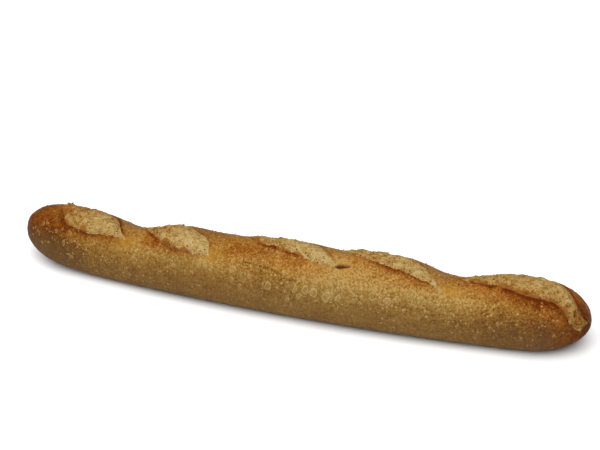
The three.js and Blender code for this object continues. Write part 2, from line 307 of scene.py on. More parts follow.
# Places along the loaf and their runs, measured over the shoulder from its middle
STATION_X = -HALF * np.cos(np.linspace(0, math.pi, RUN_STATIONS + 1))
STATION_RADIUS = WIDTH / 2 * body_share(STATION_X) * end_share(STATION_X)
STATION_RUN = np.concatenate(
    [[0], np.cumsum(np.hypot(np.diff(STATION_X), np.diff(STATION_RADIUS)))])
HALF_RUN = STATION_RUN[-1] / 2
STATION_RUN = STATION_RUN - HALF_RUN


def x_at(run):
    return np.interp(run, STATION_RUN, STATION_X)


def run_at(x):
    return np.interp(x, STATION_X, STATION_RUN)


def point_at(run, girth):
    return loaf_point(x_at(run), girth / GIRTH_RADIUS)


def unrolled(place, degrees):
    return np.array([run_at(place * HALF), math.radians(degrees) * GIRTH_RADIUS])


def ripple(run, girth, wave, phase):
    """Smooth unevenness between -1 and 1, made of three crossing waves."""
    turn = 2 * math.pi / wave
    waves = [
        np.sin(turn * (along * run + around * girth) + shift * phase)
        for along, around, shift in WAVES
    ]
    return sum(waves) / len(waves)


def value_noise(points, size, seed):
    """Smooth noise from 0 to 1 whose lumps are about size across."""
    lattice = np.random.default_rng(seed).random((NOISE_CELLS, NOISE_CELLS, NOISE_CELLS))
    place = points / size
    corner = np.floor(place).astype(int)
    part = place - corner
    ease = part * part * (3 - 2 * part)
    total = np.zeros(points.shape[:-1])
    for step in itertools.product((0, 1), repeat=3):
        weight = np.prod(np.where(np.array(step) == 1, ease, 1 - ease), axis=-1)
        index = (corner + np.array(step)) % NOISE_CELLS
        total += weight * lattice[index[..., 0], index[..., 1], index[..., 2]]
    return total


def fractal(points, size, octaves, seed):
    """Noise from -1 to 1 with finer and finer lumps."""
    total = np.zeros(points.shape[:-1])
    weight = 1.0
    weights = 0.0
    for octave in range(octaves):
        total += weight * (2 * value_noise(points, size / 2 ** octave, seed + octave) - 1)
        weights += weight
        weight /= 2
    return total / weights


def between(along, start, growth, end):
    """Growth of a lifted edge away from its two tips."""
    return smoothstep(along, start, start + growth) * smoothstep(1 - along, 0, end)


def edge_line(places):
    """An edge of a score: evenly spaced points of a smooth line, worn ragged between its tips."""
    knots = [unrolled(*place) for place in places]
    line = []
    for i in range(len(knots) - 1):
        before = knots[max(i - 1, 0)]
        a, b = knots[i], knots[i + 1]
        after = knots[min(i + 2, len(knots) - 1)]
        start, end = (b - before) / 2, (after - a) / 2
        for t in np.arange(EDGE_STEPS) / EDGE_STEPS:
            line.append((2 * a - 2 * b + start + end) * t ** 3
                        + (3 * b - 3 * a - 2 * start - end) * t ** 2 + start * t + a)
    line = np.array(line + [knots[-1]])
    length = np.concatenate([[0], np.cumsum(np.hypot(*np.diff(line, axis=0).T))])
    count = round(length[-1] / EDGE_SPACING)
    along = np.linspace(0, 1, count + 1)
    even = np.stack([np.interp(along * length[-1], length, line[:, k]) for k in (0, 1)], -1)
    depth, wave, phase = RAGGED
    shift = depth * between(along, 0, RAGGED_FADE, RAGGED_FADE) * ripple(*even.T, wave, phase)
    return even + np.stack([shift, -shift], -1)


def nearest_on(line, run, girth):
    """Nearest points of an edge: distance, share of the edge, and the edge's direction."""
    distance = np.full(run.shape, np.inf)
    along = np.zeros(run.shape)
    tangent = np.gradient(line, axis=0)
    for i in range(len(line) - 1):
        a = line[i]
        step = line[i + 1] - a
        share = ((run - a[0]) * step[0] + (girth - a[1]) * step[1]) / (step @ step)
        share = np.clip(share, 0, 1)
        gap = np.hypot(run - a[0] - share * step[0], girth - a[1] - share * step[1])
        closer = gap < distance
        distance = np.where(closer, gap, distance)
        along = np.where(closer, (i + share) / (len(line) - 1), along)
    stations = np.linspace(0, 1, len(line))
    toward = np.stack([np.interp(along, stations, tangent[:, k]) for k in (0, 1)], -1)
    toward /= np.linalg.norm(toward, axis=-1, keepdims=True)
    return distance, along, toward


def is_between(front, back, run, girth):
    """Whether points of the unrolled crust are in the opening between two edges."""
    outline = np.concatenate([front, back[1:-1][::-1]])
    inside = np.zeros(run.shape, bool)
    for a, b in zip(outline, np.roll(outline, -1, axis=0)):
        if a[1] == b[1]:
            continue
        crossing = (a[1] > girth) != (b[1] > girth)
        inside ^= crossing & (run < (b[0] - a[0]) * (girth - a[1]) / (b[1] - a[1]) + a[0])
    return inside


OPENINGS = [(edge_line(front), edge_line(back)) for front, back in SCORES]


def near_opening(front, back, run):
    ends = np.concatenate([front[:, 0], back[:, 0]])
    return (run > ends.min() - SCORE_REACH) & (run < ends.max() + SCORE_REACH)


class Score:
    """One opening, seen from points of the unrolled crust near it."""

    def __init__(self, number, run, girth, solid):
        front, back = OPENINGS[number]
        self.number = number
        self.run = run
        self.girth = girth
        self.solid = solid
        self.near, self.near_along, self.toward = nearest_on(front, run, girth)
        self.far, self.far_along, _ = nearest_on(back, run, girth)
        side = np.where(is_between(front, back, run, girth), 1, -1)
        worn = EDGE_WEAR * fractal(solid, *WEAR_NOISE)
        self.inside = side * np.minimum(self.near, self.far) + worn
        self.opened = smoothstep(self.inside, -EDGE_THICKNESS / 2, EDGE_THICKNESS / 2)
        self.rough = smoothstep(self.inside, *ROUGH_FROM_EDGE)
        self.ear = between(self.near_along, EAR_START, EAR_GROWTH, EAR_END)
        self.lip = between(self.far_along, 0, LIP_GROWTH, LIP_END)
        self.at_tip = TIP_PITS[number] * smoothstep(self.near_along, *TIP_ALONG)
        holes = smoothstep(value_noise(solid, *PIT_NOISE), *PIT_LEVELS)
        self.pits = holes * self.rough * (PITS[number] + self.at_tip)

    def crust(self):
        """How far the crust is lifted outside the two edges."""
        ear = EAR * self.ear * np.exp(-self.near / EAR_RUN)
        lip = LIP * self.lip * np.exp(-self.far / LIP_RUN)
        return np.maximum(ear, lip)

    def lean(self):
        """How far the ear leans over the opening."""
        return LEAN * self.ear * np.exp(-self.near / LEAN_RUN) * (1 - self.opened)

    def crumb(self):
        """How far the crumb swells out or sinks between the two edges."""
        depth, wave, phase = CRUMB
        middle = smoothstep(np.minimum(self.near, self.far), 0, SWELL_RUN)
        crumb = (SWELL + depth * ripple(self.run, self.girth, wave, phase)) * middle
        crumb -= EAR_GROOVE * self.ear * np.exp(-self.near / EAR_GROOVE_RUN)
        crumb -= LIP_GROOVE * self.lip * np.exp(-self.far / LIP_GROOVE_RUN)
        crumb += CRUMB_ROUGHNESS * fractal(self.solid, *CRUMB_NOISE) * self.rough
        return crumb - PIT_DEPTH * self.pits

    def pale(self):
        """How pale the crumb is: darker beside the front edge, partly browner and partly painted shade
        under the ear, and darker in a tip full of holes.
        """
        left, right = PALENESS[self.number]
        wander = PALE_WANDER * fractal(self.solid, *PALE_NOISE)
        rightward = smoothstep(self.near_along + wander, *PALE_ALONG)
        holed = self.at_tip * smoothstep(self.near, *TIP_RIM)
        stain_and_shade = EDGE_STAINS_AND_SHADE[self.number] * np.exp(-self.near / STAIN_SHADE_RUN)
        stain_and_shade *= 1 - smoothstep(self.near_along, *STAIN_SHADE_END)
        return (left + (right - left) * rightward) * (1 - holed) - stain_and_shade

    def browned(self):
        """How brown the two edges are."""
        ridge = np.maximum(self.ear, LIP_BROWNING * self.lip * (self.far < self.near))
        return ridge * np.exp(-self.near / EAR_BROWN_RUN)

    def burnt(self):
        """How burnt the rims of the two edges are."""
        front, back, start, end = BURNT[self.number]
        front = front * self.ear * smoothstep(self.near_along - start, -BURNT_FADE, BURNT_FADE)
        front *= smoothstep(end - self.near_along, -BURNT_FADE, BURNT_FADE)
        back = back * self.lip * smoothstep(self.far_along, *BACK_BURNT_ALONG)
        rim = np.exp(-((self.inside + BURNT_RUN / 2) / BURNT_RUN) ** 2)
        beside = np.exp(-np.abs(self.inside + BURNT_RUN) / SCORCH_RUN) * (1 - self.opened)
        patchy = smoothstep(fractal(self.solid, *BURNT_NOISE), *BURNT_LEVELS)
        return (rim + SCORCH * beside) * patchy * np.where(self.near < self.far, front, back)

    def skin(self):
        """Where orange skin is torn along the front edge."""
        start, end, width = SKINS[self.number]
        width = width * (SKIN_MEAN + SKIN_RAGGED * fractal(self.solid, *SKIN_NOISE))
        torn = smoothstep(self.near_along, start - SKIN_FADE, start)
        torn *= smoothstep(end + SKIN_FADE - self.near_along, 0, SKIN_FADE)
        skin = 1 - smoothstep(self.near - width * torn, *SKIN_EDGE)
        return skin * (torn > 0) * (self.near < self.far)


class Surface:
    """The unrolled crust at some points: how far it is shifted, what it is made of, and where shade is
    painted on it.
    """

    def __init__(self, run, girth):
        self.run = run
        self.girth = girth
        self.angle = girth / GIRTH_RADIUS
        self.x = x_at(run)
        self.solid = point_at(run, girth)
        self.edge_distance = np.full(run.shape, SCORE_REACH)
        self.outward, self.lean_run, self.lean_girth = np.zeros((3, *run.shape))
        self.crumb, self.pale, self.skin, self.pit_shade = np.zeros((4, *run.shape))
        self.ear, self.toast, self.burnt, self.shadow = np.zeros((4, *run.shape))
        self.add_crust()
        self.add_ditches()
        self.add_ledges()
        for number in range(len(OPENINGS)):
            self.add_score(number)

    def add_crust(self):
        depth, wave, phase = CRUST
        uneven = smoothstep(np.cos(self.angle), *UNEVEN)
        self.outward += depth * uneven * ripple(self.run, self.girth, wave, phase)
        self.outward += CRUST_GRAIN * uneven * fractal(self.solid, *GRAIN_NOISE)
        for place, depth, reach in DIPS:
            along = np.exp(-((self.x - place * HALF) / reach) ** 2)
            around = np.exp(-((self.angle - DIP_ANGLE) / DIP_ARC) ** 2)
            self.outward -= depth * along * around

    def add_ditches(self):
        for start, end, depth, reach, darkness in DITCHES:
            ditch = np.array([unrolled(*start), unrolled(*end)])
            distance, along, _ = nearest_on(ditch, self.run, self.girth)
            widened = between(along, 0, DITCH_WIDENS, DITCH_NARROWS)
            reach = reach * (DITCH_TIPS + (1 - DITCH_TIPS) * widened)
            self.outward -= depth * np.exp(-(distance / reach) ** 2)
            # Shade is painted inside the tear
            self.pit_shade += darkness * np.exp(-(distance / (DITCH_DARK * reach)) ** 4)

    def add_ledges(self):
        for places in LEDGES:
            line = edge_line(places)
            distance, along, toward = nearest_on(line, self.run, self.girth)
            stations = np.linspace(0, 1, len(line))
            offset_run = self.run - np.interp(along, stations, line[:, 0])
            offset_girth = self.girth - np.interp(along, stations, line[:, 1])
            side = offset_run * toward[..., 1] - offset_girth * toward[..., 0]
            side += LEDGE_EDGE * fractal(self.solid, *LEDGE_NOISE)
            above = smoothstep(side, -LEDGE_EDGE / 2, LEDGE_EDGE / 2)
            below = smoothstep(-side, -LEDGE_EDGE, LEDGE_SHADE_RUN)
            fade = between(along, 0, LEDGE_FADE, LEDGE_FADE) * np.exp(-distance / LEDGE_RUN)
            self.outward += LEDGE_HEIGHT * fade * (above - 0.5)
            crease = np.exp(-(side / LEDGE_EDGE) ** 2)
            self.shadow = np.maximum(self.shadow, fade * np.maximum(crease, LEDGE_SHADE * below))

    def add_score(self, number):
        here = near_opening(*OPENINGS[number], self.run)
        score = Score(number, self.run[here], self.girth[here], self.solid[here])
        opened = score.opened
        lean = score.lean()
        browned = score.browned()
        self.outward[here] += score.crust() * (1 - opened) + score.crumb() * opened
        self.lean_run[here] += lean * score.toward[:, 1]
        self.lean_girth[here] -= lean * score.toward[:, 0]
        self.crumb[here] = np.maximum(self.crumb[here], opened)
        # Shade is painted into the holes of the crumb
        self.pit_shade[here] = np.maximum(self.pit_shade[here], PIT_DARKNESS * score.pits)
        self.pale[here] = np.where(opened > 0, score.pale(), self.pale[here])
        self.ear[here] = np.maximum(self.ear[here], browned)
        self.toast[here] += EARS_TOAST[number] * browned
        self.burnt[here] = np.maximum(self.burnt[here], score.burnt())
        self.skin[here] = np.maximum(self.skin[here], score.skin())
        nearest = np.minimum(score.near, score.far)
        self.edge_distance[here] = np.minimum(self.edge_distance[here], nearest)

    def points(self, proud=0.0):
        """The points themselves, standing proud of the surface by so much."""
        limit = HALF_RUN - NORMAL_STEP
        run = np.clip(self.run + self.lean_run, -limit, limit)
        girth = self.girth + self.lean_girth
        along_run = point_at(run + NORMAL_STEP, girth) - point_at(run - NORMAL_STEP, girth)
        along_girth = point_at(run, girth + NORMAL_STEP) - point_at(run, girth - NORMAL_STEP)
        normal = np.cross(along_girth, along_run)
        normal /= np.linalg.norm(normal, axis=-1, keepdims=True)
        fade = smoothstep(HALF_RUN - np.abs(run), 0, POLE_FADE)
        points = point_at(run, girth) + normal * (self.outward * fade + proud)[..., None]
        points[..., 2] = np.maximum(points[..., 2], 0)
        return points


# ---- What the crust is made of: how brown it is, where it is golden or dusted, and where shade is painted on it ----
TOAST = 0.24
BURNT_TOAST = 0.3
# How much the painted shadow under a ledge darkens the crust
LEDGE_SHADOW_DARKNESS = 0.35
# Lumps of browner crust: amount, and size, octaves and seed of their noise
TOAST_LUMPS = [(0.09, (34 * MM, 3, 70)), (0.11, (9 * MM, 2, 75))]
# How much browner the ends are, and over which places
LEFT_TOAST = 0.56
LEFT_SPAN = (0.6, 0.9)
RIGHT_TOAST = 0.26
RIGHT_SPAN = (0.55, 0.85)
LEFT_HALF_TOAST = 0.08
LEFT_HALF_SPAN = (-0.05, 0.1)
# How much darker the belly is, partly browner crust and partly painted shade where it turns down, and
# over which degrees
BELLY_TOAST_AND_SHADE = 0.32
LOW_ARC = (42, 80)

# Browner and paler patches: place, degrees, reach along, reach around in degrees, amount
PATCHES = [
    (0.0, -28, 2.0, 22, 0.14),
    (-0.8, 30, 0.06, 30, -0.12),
    (-0.9, 75, 0.08, 25, -0.1),
    (-0.86, -15, 0.06, 30, -0.25),
    (-0.7, 48, 0.08, 10, -0.14),
    (-0.62, -10, 0.06, 30, -0.06),
    (-0.6, 35, 0.05, 22, 0.12),
    (-0.65, 48, 0.04, 12, -0.1),
    (-0.3, 0, 0.14, 26, 0.14),
    (-0.3, 50, 0.09, 12, -0.16),
    (-0.19, 30, 0.03, 14, 0.12),
    (-0.1, 20, 0.1, 12, 0.2),
    (0.0, 62, 0.06, 12, 0.08),
    (0.15, 33, 0.08, 22, -0.16),
    (0.19, 10, 0.06, 25, -0.06),
    (0.4, 38, 0.12, 20, -0.16),
    (-0.47, 34, 0.05, 10, 0.14),
    (-0.85, 55, 0.04, 18, 0.12),
    (0.56, -6, 0.07, 28, 0.16),
    (0.6, 48, 0.06, 14, -0.12),
    (0.78, 75, 0.14, 25, 0.14),
    (0.92, 64, 0.05, 14, -0.28),
    (0.62, 18, 0.06, 18, 0.1),
    (-0.54, 22, 0.05, 16, -0.06),
    (0.0, 82, 0.35, 10, -0.06),
    (0.965, 25, 0.03, 25, 0.35),
    (0.82, 36, 0.1, 10, 0.16),
    (0.99, 70, 0.03, 25, 0.22),
]
# Golden patches
GOLD = [
    (-0.56, 40, 0.035, 12, 0.8),
    (-0.245, 36, 0.035, 13, 0.9),
    (0.215, 26, 0.025, 8, 0.8),
    (0.56, 34, 0.03, 10, 0.9),
]
# Redder and yellower patches
RED = [
    (0.0, -25, 2.0, 25, 0.35),
    (-0.95, -20, 0.14, 40, -0.8),
    (-0.85, 60, 0.1, 20, -0.6),
    (-0.92, 90, 0.12, 25, -0.7),
    (-0.58, 20, 0.1, 25, 0.4),
    (-0.2, 50, 0.08, 12, 0.3),
    (-0.8, 35, 0.06, 18, 0.6),
    (0.05, 50, 0.14, 8, 0.4),
    (-0.16, 20, 0.09, 22, 0.9),
    (0.02, 34, 0.09, 12, 0.6),
    (0.25, 5, 0.08, 22, 0.5),
    (0.42, 30, 0.12, 12, 0.3),
    (-0.47, 34, 0.05, 10, 0.5),
    (0.68, 14, 0.14, 24, 1.0),
    (-0.3, 52, 0.12, 14, -0.4),
    (0.1, 62, 0.2, 16, -0.3),
    (0.5, 52, 0.1, 16, -0.2),
]
# Calmer and livelier patches of the mottled crust
CALM = [
    (-0.95, 0, 0.12, 200, 0.6),
    (0.97, 0, 0.04, 200, 0.5),
    (0.9, 90, 0.2, 40, 0.2),
    (0.27, 35, 0.3, 30, -0.22),
    (-0.25, 70, 0.3, 25, 0.12),
    (0.0, 90, 0.6, 25, 0.15),
]
CALM_EARS = 0.2
CALM_LIMITS = (-0.6, 0.8)
RED_EARS = 0.9
RED_ENDS = 0.9
END_SPAN = (0.72, 0.92)
YELLOW_FRONT = 0.4
YELLOW_ARC = (35, 60)
# How high the flour reaches, where the dust lies, and how far from the tips it fades
FLOUR_HEIGHT = 4 * MM
DUST_ARC = (35, 95)
DUST_END = (0.85, 0.97)
DUST_FADE = 40 * MM


def patch_sum(patches, place, degrees):
    total = np.zeros(place.shape)
    for at, around, reach, arc, amount in patches:
        total += amount * np.exp(-((place - at) / reach) ** 2 - ((degrees - around) / arc) ** 2)
    return total


def looks(surface):
    """Shares for the material at the points of a surface."""
    place = surface.x / HALF
    degrees = np.degrees(surface.angle)
    toast = TOAST + patch_sum(PATCHES, place, degrees)
    for amount, noise in TOAST_LUMPS:
        toast += amount * fractal(surface.solid, *noise)
    toast += LEFT_TOAST * smoothstep(-place, *LEFT_SPAN)
    toast += RIGHT_TOAST * smoothstep(place, *RIGHT_SPAN)
    toast += LEFT_HALF_TOAST * smoothstep(-place, *LEFT_HALF_SPAN)
    # The belly is darker: partly browner crust, partly painted shade
    toast += BELLY_TOAST_AND_SHADE * smoothstep(np.abs(degrees), *LOW_ARC)
    # The painted shadow under a ledge darkens the crust and takes red out of it
    toast += surface.toast + BURNT_TOAST * surface.burnt + LEDGE_SHADOW_DARKNESS * surface.shadow
    ends = smoothstep(np.abs(place), *END_SPAN)
    red = RED_EARS * surface.ear + RED_ENDS * ends + patch_sum(RED, place, degrees)
    red -= YELLOW_FRONT * smoothstep(np.abs(degrees), *YELLOW_ARC) * (1 - ends) + surface.shadow
    flour = smoothstep(-surface.solid[..., 2], -FLOUR_HEIGHT, 0) * (np.cos(surface.angle) < 0)
    dust = smoothstep(np.abs(degrees), *DUST_ARC) * (1 - smoothstep(place, *DUST_END))
    dust = dust * smoothstep(HALF_RUN - np.abs(surface.run), 0, DUST_FADE)
    calm = patch_sum(CALM, place, degrees) + CALM_EARS * surface.ear
    return {
        "toast": np.clip(toast, 0, 1),
        "red": np.clip(red, -1, 1),
        "gold": np.clip(patch_sum(GOLD, place, degrees), 0, 1),
        "dust": dust,
        "flour": flour,
        "pale": surface.pale,
        "burnt": surface.burnt,
        "crumb": surface.crumb,
        "skin": surface.skin * surface.crumb,
        "pit_shade": np.clip(surface.pit_shade, 0, 1),
        "calm": np.clip(calm, *CALM_LIMITS),
    }


# ---- Meshes ----
def new_object(name, vertices, faces, shares, material):
    mesh = bpy.data.meshes.new(name)
    mesh.from_pydata([tuple(v) for v in vertices], [], faces)
    mesh.update()
    for polygon in mesh.polygons:
        polygon.use_smooth = True
    for key, values in shares.items():
        layer = mesh.attributes.new(key, "FLOAT", "POINT")
        layer.data.foreach_set("value", np.asarray(values, np.float32))
    mesh.materials.append(material)
    piece = bpy.data.objects.new(name, mesh)
    bpy.context.scene.collection.objects.link(piece)
    return piece


def grid_places():
    """Places of the loaf's grid, crowded together along the edges of the scores."""
    run = np.linspace(-HALF_RUN, HALF_RUN, RINGS + 2)[1:-1]
    turn = np.linspace(-math.pi, math.pi, AROUND, endpoint=False)
    angle = turn - CROWN_PULL * np.sin(turn)
    run, girth = np.meshgrid(run, angle * GIRTH_RADIUS, indexing="ij")
    for front, back in OPENINGS:
        for line in (front, back):
            low = line.min(axis=0) - EDGE_PULL_LIMIT
            high = line.max(axis=0) + EDGE_PULL_LIMIT
            here = (run > low[0]) & (run < high[0]) & (girth > low[1]) & (girth < high[1])
            distance, along, _ = nearest_on(line, run[here], girth[here])
            stations = np.linspace(0, 1, len(line))
            pull = EDGE_PULL * np.exp(-(distance / EDGE_PULL_REACH) ** 2)
            run[here] += pull * (np.interp(along, stations, line[:, 0]) - run[here])
            girth[here] += pull * (np.interp(along, stations, line[:, 1]) - girth[here])
    return run, girth


def loaf_faces():
    faces = []
    for ring in range(RINGS - 1):
        for step in range(AROUND):
            a = ring * AROUND + step
            b = ring * AROUND + (step + 1) % AROUND
            faces.append((a, a + AROUND, b + AROUND, b))
    left = RINGS * AROUND
    last = (RINGS - 1) * AROUND
    for step in range(AROUND):
        ahead = (step + 1) % AROUND
        faces.append((left, step, ahead))
        faces.append((left + 1, last + ahead, last + step))
    return faces


run, girth = grid_places()
surface = Surface(run, girth)
points = surface.points().reshape(-1, 3)
poles = loaf_point(np.array([-HALF, HALF]), np.zeros(2))
points = np.concatenate([points, poles])
CENTRE = (points.min(axis=0) + points.max(axis=0)) / 2
CENTRE[2] = points[:, 2].min()
shares = {
    key: np.concatenate([values.ravel(), values[[0, -1], 0]])
    for key, values in looks(surface).items()
}


# ---- Materials ----
# How much darker a surface is than it looks in this light
LIT = 0.55


def colour(red, green, blue):
    """The shader's linear colour of a surface that looks like this sRGB one, in 0 to 255, when lit."""
    shares = [value / 255 for value in (red, green, blue)]
    linear = [s / 12.92 if s < 0.04045 else ((s + 0.055) / 1.055) ** 2.4 for s in shares]
    return [LIT * s for s in linear] + [1]


class Nodes:
    """A material's nodes, added one by one and joined by their sockets."""

    def __init__(self, name):
        self.material = bpy.data.materials.new(name)
        self.material.use_nodes = True
        self.tree = self.material.node_tree
        self.shader = self.tree.nodes["Principled BSDF"]
        place = self.tree.nodes.new("ShaderNodeTexCoord")
        self.place = place.outputs["Object"]

    def add(self, kind, inputs=None, **settings):
        node = self.tree.nodes.new("ShaderNode" + kind)
        for key, value in settings.items():
            setattr(node, key, value)
        for key, value in (inputs or {}).items():
            self.put(value, node.inputs[key])
        return node

    def put(self, value, socket):
        if isinstance(value, bpy.types.NodeSocket):
            self.tree.links.new(value, socket)
        else:
            socket.default_value = value

    def share(self, name):
        return self.add("Attribute", attribute_name=name).outputs["Fac"]

    def math(self, operation, a, b=0.5, c=0.5):
        return self.add("Math", {0: a, 1: b, 2: c}, operation=operation).outputs[0]

    def plus(self, base, amount, weight):
        return self.math("MULTIPLY_ADD", amount, weight, base)

    def times(self, a, b):
        return self.math("MULTIPLY", a, b)

    def centred(self, noise):
        return self.math("SUBTRACT", noise, 0.5)

    def fit(self, value, low, high, new_low=0.0, new_high=1.0):
        inputs = {"Value": value, "From Min": low, "From Max": high,
                  "To Min": new_low, "To Max": new_high}
        node = self.add("MapRange", inputs, interpolation_type="SMOOTHSTEP")
        return node.outputs["Result"]

    def mix(self, share, a, b, blend="MIX"):
        node = self.add("Mix", {0: share, 6: a, 7: b}, data_type="RGBA", blend_type=blend)
        return node.outputs[2]

    def noise(self, size, detail=3.0, roughness=0.55):
        inputs = {"Vector": self.place, "Scale": 1 / size, "Detail": detail,
                  "Roughness": roughness}
        return self.add("TexNoise", inputs).outputs["Fac"]

    def spots(self, spacing, radius, chance, soft=0.4):
        """Round spots of about that radius, in that share of the cells."""
        inputs = {"Vector": self.place, "Scale": 1 / spacing}
        cells = self.add("TexVoronoi", inputs)
        distance = self.times(cells.outputs["Distance"], spacing)
        near = self.fit(distance, radius * (1 - soft), radius, 1.0, 0.0)
        lot = self.add("SeparateColor", {"Color": cells.outputs["Color"]}).outputs[0]
        chosen = self.math("LESS_THAN", lot, chance)
        return self.times(near, chosen)

    def ramp(self, value, stops):
        node = self.add("ValToRGB", {"Fac": value})
        elements = node.color_ramp.elements
        while len(elements) < len(stops):
            elements.new(1)
        for element, (position, shade) in zip(elements, stops):
            element.position = position
            element.color = colour(*shade)
        return node.outputs["Color"]


TOASTING = [
    (0.00, (204, 165, 101)),
    (0.25, (178, 134, 68)),
    (0.50, (162, 111, 46)),
    (0.70, (143, 87, 28)),
    (0.88, (118, 66, 16)),
    (1.00, (92, 46, 10)),
]
CRUMB_SHADES = [
    (0.0, (134, 72, 24)),
    (0.25, (164, 108, 44)),
    (0.5, (190, 146, 78)),
    (0.75, (206, 169, 100)),
    (1.0, (222, 193, 128)),
]
BRAN_SHADES = [(0.1, (114, 62, 22)), (0.5, (154, 98, 44)), (0.9, (196, 150, 90))]
DUSTED = colour(150, 122, 78)
GOLDEN = colour(200, 146, 50)
FLOURED = colour(196, 172, 130)
BRAN = colour(112, 58, 20)
PALE_DOT = colour(222, 188, 126)
TORN_SKIN = colour(168, 100, 38)
# Painted shade inside the crumb's holes and inside the tear at a score's tip
PIT_SHADE_COLOUR = colour(96, 44, 10)
BURNT_EDGE = colour(112, 44, 8)

# How far the mottling, the clouds, the pale dots and the bran shift the crust's brownness
MOTTLING = 2.3
CLOUDING = 0.5
DOTS_TOAST = -0.6
BRAN_TOAST = 0.5
# How far bran reddens the crust, and how much green and blue a full red takes away
BRAN_RED = 0.6
RED_GREEN = -0.23
RED_BLUE = -0.42
CRUST_BLUE = 0.9
# How much of each colour is laid over the crust
DUST_COVER = 0.4
GOLD_COVER = 0.5
DOT_COVER = 0.34
GRAIN_COVER = 0.7
RING_COVER = 0.8
# Where the crumb lies on its ramp, and how far its lumps, its grain and its paleness shift it
CRUMB_MIDDLE = 0.35
CRUMB_LUMPS = 1.8
CRUMB_GRAIN = 2.2
CRUMB_PALENESS = 0.5
FLECK_COVER = 0.85
# Levels of a noise and the shares that they stand for: from, to, least, most
PATCHY_DOTS = (0.4, 0.6, 0.3, 1.0)
PATCHY_FLOUR = (0.3, 0.7, 0.4, 0.9)
PATCHY_SKIN = (0.35, 0.6, 0.55, 0.95)
PATCHY_BURNS = (0.25, 0.6, 0.6, 1.0)
CRUST_ROUGH = (0.3, 0.7, 0.5, 0.65)
CRUMB_ROUGH = 0.85
CRUST_SHINE = 0.05
CRUST_SHINE_TINT = (1, 0.7, 0.4, 1)
# Bump: its depth, how coarse the crust is and how much coarser the crumb, and how high a dot
BUMP_DEPTH = 0.9 * MM
CRUST_COARSE = 0.6
CRUMB_COARSE = 0.7
DOT_HEIGHT = 0.4


def crust_dots(nodes, lively):
    """Pale dots in the crust, patchy and fewer where it is calm."""
    patchy = nodes.fit(nodes.noise(size=13 * MM, detail=2.0), *PATCHY_DOTS)
    grains = nodes.spots(spacing=2.0 * MM, radius=0.75 * MM, chance=0.5, soft=0.7)
    dots = nodes.spots(spacing=3.4 * MM, radius=1.2 * MM, chance=0.35, soft=0.5)
    dots = nodes.math("MAXIMUM", nodes.times(grains, GRAIN_COVER), dots)
    return nodes.times(dots, nodes.times(patchy, lively))


def crust_colour(nodes, mottle, dots, lively):
    clouds = nodes.noise(size=8 * MM, detail=3.0, roughness=0.5)
    bran = nodes.spots(spacing=2.1 * MM, radius=0.65 * MM, chance=0.3)
    spread = nodes.times(nodes.centred(mottle), lively)
    toast = nodes.plus(nodes.share("toast"), spread, MOTTLING)
    toast = nodes.plus(toast, nodes.centred(clouds), CLOUDING)
    toast = nodes.plus(toast, dots, DOTS_TOAST)
    toast = nodes.plus(toast, bran, BRAN_TOAST)
    crust = nodes.ramp(toast, TOASTING)
    red = nodes.plus(nodes.share("red"), bran, BRAN_RED)
    green_left = nodes.plus(1.0, red, RED_GREEN)
    blue_left = nodes.plus(CRUST_BLUE, red, RED_BLUE)
    tint = nodes.add("CombineColor", {0: 1.0, 1: green_left, 2: blue_left}).outputs[0]
    crust = nodes.mix(1.0, crust, tint, "MULTIPLY")
    crust = nodes.mix(nodes.times(nodes.share("dust"), DUST_COVER), crust, DUSTED)
    crust = nodes.mix(nodes.times(nodes.share("gold"), GOLD_COVER), crust, GOLDEN)
    crust = nodes.mix(nodes.times(dots, DOT_COVER), crust, PALE_DOT)
    crust = nodes.mix(nodes.times(nodes.share("ring"), RING_COVER), crust, PALE_DOT)
    floured = nodes.times(nodes.share("flour"), nodes.fit(mottle, *PATCHY_FLOUR))
    return nodes.mix(floured, crust, FLOURED)


def crumb_colour(nodes, grain):
    lumps = nodes.noise(size=5 * MM, detail=4.0, roughness=0.6)
    shade = nodes.plus(CRUMB_MIDDLE, nodes.centred(lumps), CRUMB_LUMPS)
    shade = nodes.plus(shade, nodes.centred(grain), CRUMB_GRAIN)
    shade = nodes.plus(shade, nodes.share("pale"), CRUMB_PALENESS)
    crumb = nodes.ramp(shade, CRUMB_SHADES)
    skin = nodes.times(nodes.share("skin"), nodes.fit(grain, *PATCHY_SKIN))
    crumb = nodes.mix(skin, crumb, TORN_SKIN)
    small = nodes.spots(spacing=2.2 * MM, radius=0.8 * MM, chance=0.25)
    large = nodes.spots(spacing=4.2 * MM, radius=1.3 * MM, chance=0.3, soft=0.6)
    flecks = nodes.math("MAXIMUM", small, large)
    return nodes.mix(nodes.times(flecks, FLECK_COVER), crumb, BRAN)


